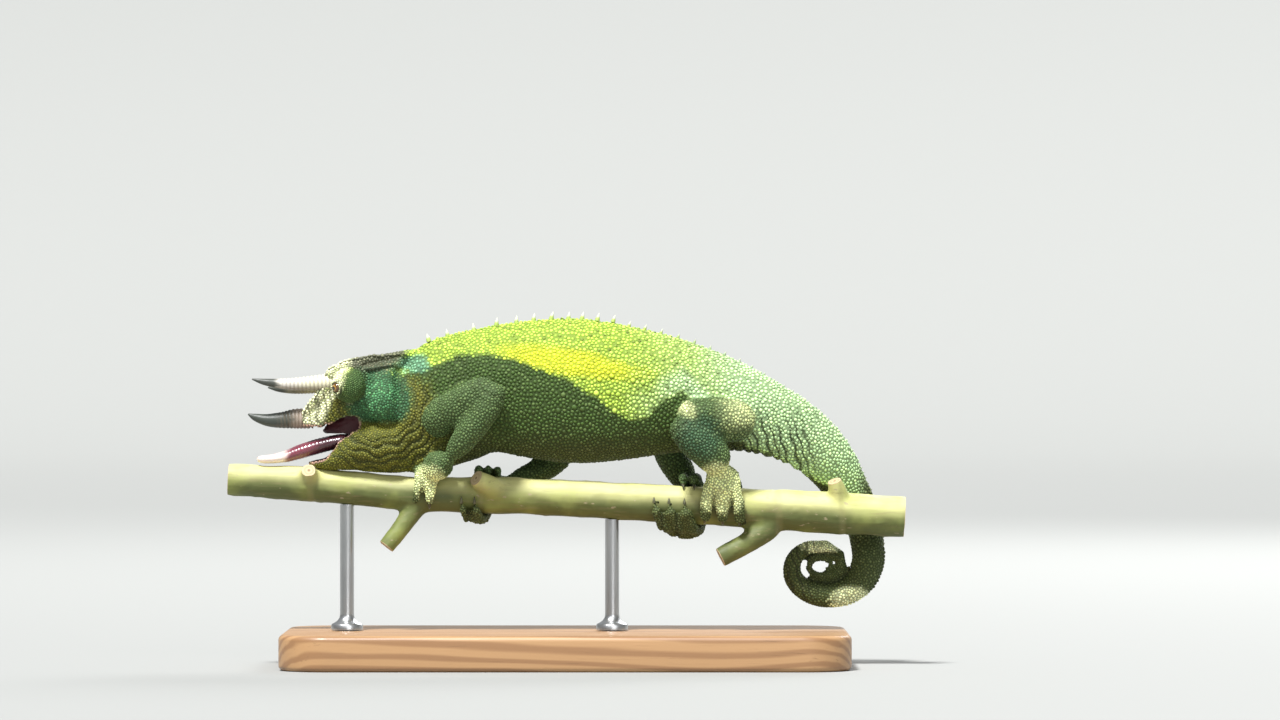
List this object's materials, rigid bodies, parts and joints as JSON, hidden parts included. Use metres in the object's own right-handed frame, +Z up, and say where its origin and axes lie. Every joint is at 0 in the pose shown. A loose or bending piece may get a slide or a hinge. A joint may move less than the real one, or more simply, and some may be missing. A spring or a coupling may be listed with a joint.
{
  "type": "jackson's three-horned chameleon, still display model",
  "caption": "Life-size still model of a male three-horned chameleon gripping a cut branch, mouth open and tail coiled, on a flat display stand.",
  "frame": {"origin": "middle of the underside of the stand's base", "axes": "+Z up; +X from the snout towards the tail, along the branch; the animal's left side faces -Y"},
  "size_m": [0.1922, 0.084, 0.1007],
  "materials": {
    "skin": "granular scaly skin, yellow-green back, teal cheeks, olive throat and belly",
    "tongue": "wet pink flesh",
    "eye": "dark glossy eye",
    "horn": "ringed keratin, pale at the root and dark at the tip",
    "bark": "smooth green-tan young bark",
    "base_wood": "satin oiled wood",
    "rod_steel": "brushed"
  },
  "bodies": {
    "root": {"head": "skin", "lower_jaw": "skin", "neck": "skin", "torso": "skin", "tail_base": "skin", "tail_bend": "skin", "tail_coil_outer": "skin", "tail_coil_tip": "skin", "eye_turret_left": "skin", "eye_turret_right": "skin", "upper_arm_left": "skin", "upper_arm_right": "skin", "forearm_left": "skin", "forearm_right": "skin", "front_foot_left": "skin", "front_foot_right": "skin", "thigh_left": "skin", "thigh_right": "skin", "shin_left": "skin", "shin_right": "skin", "hind_foot_left": "skin", "hind_foot_right": "skin", "tongue": "tongue", "eyeball_left": "eye", "eyeball_right": "eye", "horn_nose": "horn", "horn_brow_left": "horn", "horn_brow_right": "horn", "perch_branch": "bark", "stand_base": "base_wood", "stand_rod_front": "rod_steel", "stand_rod_rear": "rod_steel"}
  },
  "joints": []
}
